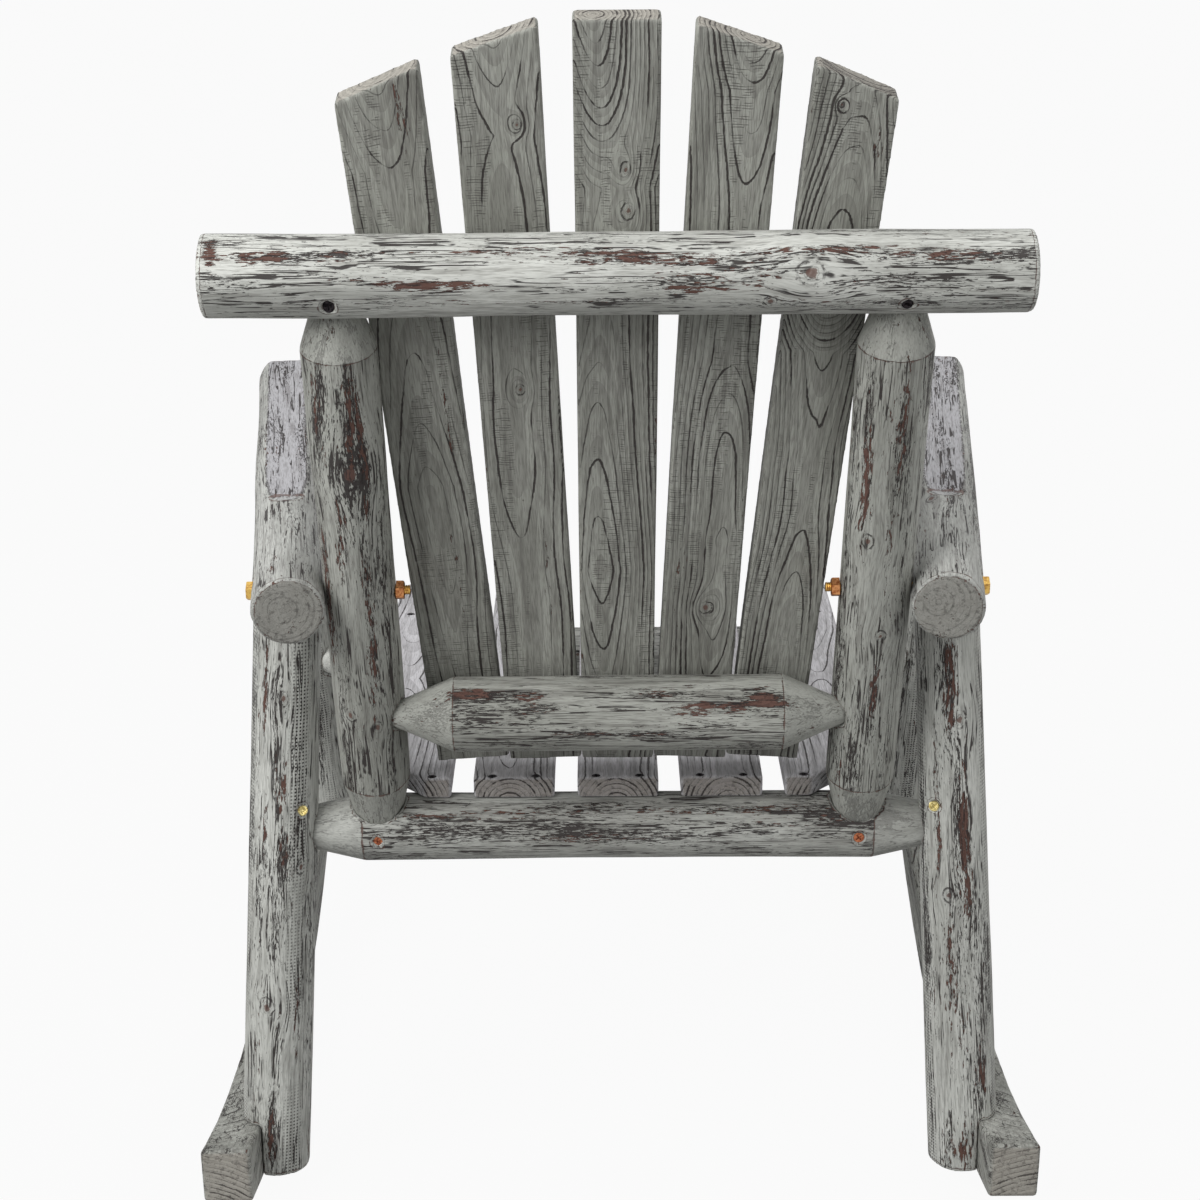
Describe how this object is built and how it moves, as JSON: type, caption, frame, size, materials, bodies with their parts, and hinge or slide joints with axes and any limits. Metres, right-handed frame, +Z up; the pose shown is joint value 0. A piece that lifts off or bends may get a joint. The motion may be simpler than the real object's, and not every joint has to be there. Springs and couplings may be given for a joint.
{
  "type": "log rocking chair",
  "caption": "Outdoor rocking chair of round logs with a fanned slat back, slatted seat, log arms and curved sawn rockers.",
  "frame": {"origin": "on the floor, under the middle of the chair's width and length", "axes": "+Z up; the sitter faces -Y; +X is the sitter's left side"},
  "size_m": [0.6734, 0.687, 0.9551],
  "materials": {
    "log_wood": "weathered grey paint on peeled logs, matte",
    "back_slat_wood": "weathered dark grey paint on sawn slats, matte",
    "seat_slat_wood": "weathered grey paint on sawn slats, matte",
    "rocker_wood": "weathered grey paint on rough sawn plank, matte",
    "bolt_zinc": "yellow zinc plate, dull",
    "nut_zinc": "copper-toned zinc plate, dull",
    "brass_screws": "brass-coloured plate, satin",
    "rail_screws": "copper-toned zinc plate, dull",
    "dark_screws": "darkened steel, dull"
  },
  "bodies": {
    "root": {"back_top_rail": "log_wood", "back_post_left": "log_wood", "back_post_right": "log_wood", "back_lower_rail": "log_wood", "back_slat_1": "back_slat_wood", "back_slat_2": "back_slat_wood", "back_slat_3": "back_slat_wood", "back_slat_4": "back_slat_wood", "back_slat_5": "back_slat_wood", "seat_rear_rail": "log_wood", "seat_front_rail": "log_wood", "seat_slat_1": "seat_slat_wood", "seat_slat_2": "seat_slat_wood", "seat_slat_3": "seat_slat_wood", "seat_slat_4": "seat_slat_wood", "seat_slat_5": "seat_slat_wood", "rear_leg_left": "log_wood", "rear_leg_right": "log_wood", "front_leg_left": "log_wood", "front_leg_right": "log_wood", "arm_left": "log_wood", "arm_right": "log_wood", "rocker_left": "rocker_wood", "rocker_right": "rocker_wood", "arm_bolt_left": "bolt_zinc", "arm_bolt_right": "bolt_zinc", "arm_nut_left": "nut_zinc", "arm_nut_right": "nut_zinc", "rear_leg_screw_left": "brass_screws", "rear_leg_screw_right": "brass_screws", "front_leg_screw_left": "dark_screws", "front_leg_screw_right": "dark_screws", "rear_rail_screw_left": "rail_screws", "rear_rail_screw_right": "rail_screws", "top_rail_screw_left": "dark_screws", "top_rail_screw_right": "dark_screws", "rocker_screw_left_rear": "dark_screws", "rocker_screw_left_front": "dark_screws", "rocker_screw_right_rear": "dark_screws", "rocker_screw_right_front": "dark_screws", "seat_rear_screw_1": "dark_screws", "seat_rear_screw_2": "dark_screws", "seat_rear_screw_3": "dark_screws", "seat_rear_screw_4": "dark_screws", "seat_rear_screw_5": "dark_screws", "seat_rear_screw_6": "dark_screws", "seat_rear_screw_7": "dark_screws", "seat_rear_screw_8": "dark_screws", "seat_front_screw_1": "dark_screws", "seat_front_screw_2": "dark_screws", "seat_front_screw_3": "dark_screws", "seat_front_screw_4": "dark_screws", "seat_front_screw_5": "dark_screws", "seat_front_screw_6": "dark_screws", "seat_front_screw_7": "dark_screws", "seat_front_screw_8": "dark_screws", "seat_front_screw_9": "dark_screws", "seat_front_screw_10": "dark_screws"}
  },
  "joints": []
}
